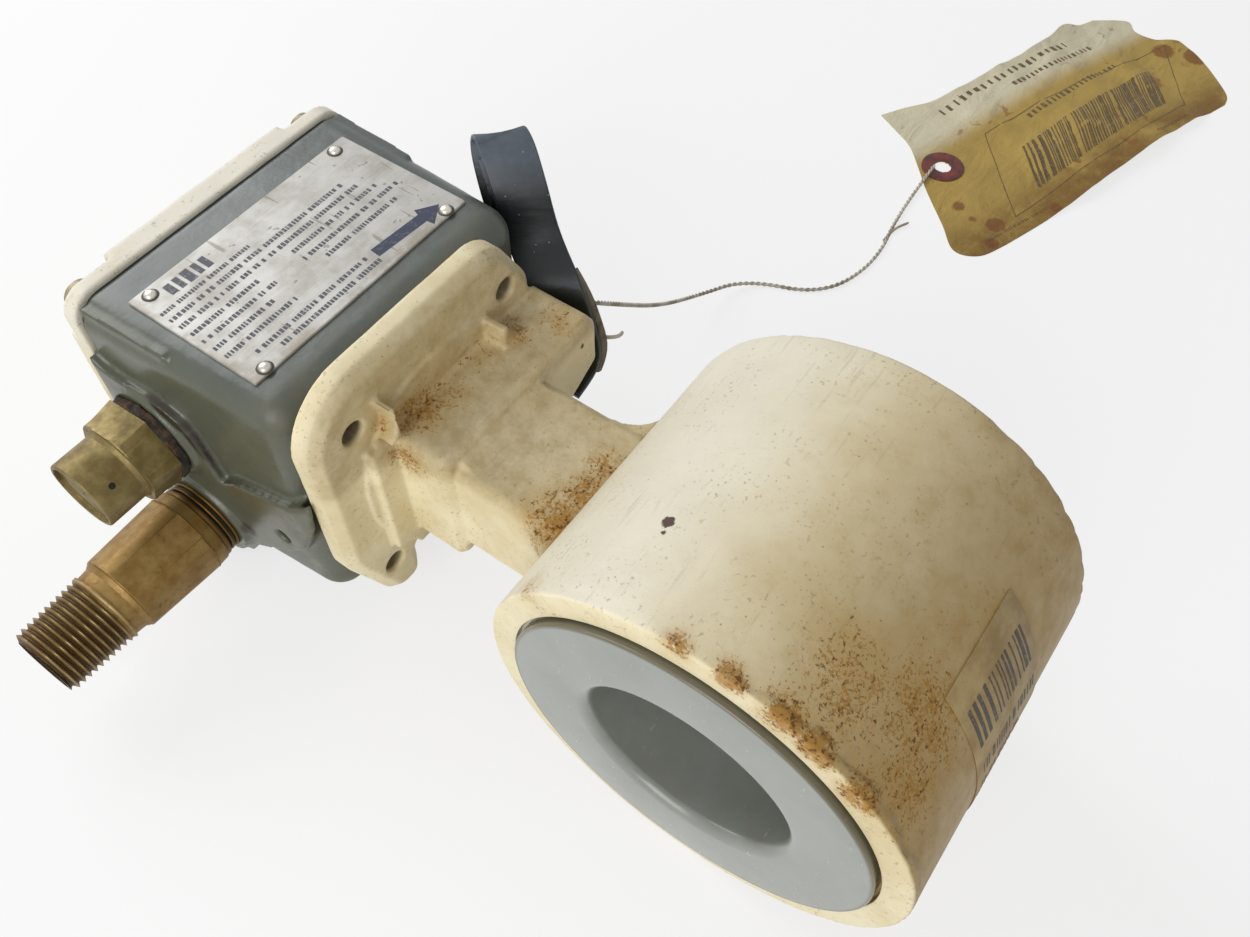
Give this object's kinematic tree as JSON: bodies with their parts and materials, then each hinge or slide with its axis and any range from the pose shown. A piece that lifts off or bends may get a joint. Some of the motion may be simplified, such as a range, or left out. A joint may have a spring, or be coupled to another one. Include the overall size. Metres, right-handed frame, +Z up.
{
  "type": "electromagnetic flow meter",
  "caption": "Wafer-body electromagnetic flow meter with a lined bore, cast neck, junction box on top, conduit fittings, strap and a shipping tag on a string.",
  "frame": {"origin": "centre of the flow bore, halfway between the ring faces", "axes": "+X along the flow, +Y out along the neck to the junction box, +Z up through the nameplate; the meter lies on its body and the surface is at z = -52 mm"},
  "size_m": [0.448, 0.2321, 0.104],
  "materials": {
    "body_paint": "satin",
    "box_paint": "satin",
    "liner_plastic": "matte",
    "steel": "satin",
    "iron": "matte",
    "plate_metal": "satin",
    "rivet_metal": "satin",
    "fitting_steel": "dull",
    "black_rubber": "matte",
    "dark_plastic": "matte",
    "webbing": "matte",
    "grey_tape": "matte",
    "string": "matte",
    "tag_card": "matte",
    "label_paper": "matte",
    "copper": "satin",
    "screw_steel": "satin"
  },
  "bodies": {
    "root": {"box_gasket": "black_rubber", "box_screw_1": "screw_steel", "box_screw_2": "screw_steel", "box_screw_3": "screw_steel", "box_screw_4": "screw_steel", "cap_seal": "black_rubber", "coil_far": "copper", "coil_neck": "copper", "conduit_nipple": "fitting_steel", "conduit_plug": "fitting_steel", "cover": "box_paint", "cover_gasket": "black_rubber", "cover_screw_1": "screw_steel", "cover_screw_2": "screw_steel", "cover_screw_3": "screw_steel", "cover_screw_4": "screw_steel", "electrode_lower": "steel", "electrode_nut_lower": "steel", "electrode_nut_upper": "steel", "electrode_seal_lower": "dark_plastic", "electrode_seal_upper": "dark_plastic", "electrode_upper": "steel", "flow_tube": "steel", "junction_box": "box_paint", "lead_sleeve": "dark_plastic", "liner": "liner_plastic", "meter_body": "body_paint", "nameplate": "plate_metal", "nameplate_rivet_1": "rivet_metal", "nameplate_rivet_2": "rivet_metal", "nameplate_rivet_3": "rivet_metal", "nameplate_rivet_4": "rivet_metal", "nipple_seal": "black_rubber", "pedestal": "body_paint", "pole_core_far": "iron", "pole_core_neck": "iron", "return_yoke": "iron", "sticker": "label_paper", "strap": "webbing", "string": "string", "tag": "tag_card", "tag_eyelet": "tag_card", "tape": "grey_tape", "terminal_block": "dark_plastic", "terminal_screw_1": "screw_steel", "terminal_screw_2": "screw_steel", "terminal_screw_3": "screw_steel", "terminal_screw_4": "screw_steel", "terminal_screw_5": "screw_steel", "terminal_screw_6": "screw_steel"}
  },
  "joints": []
}
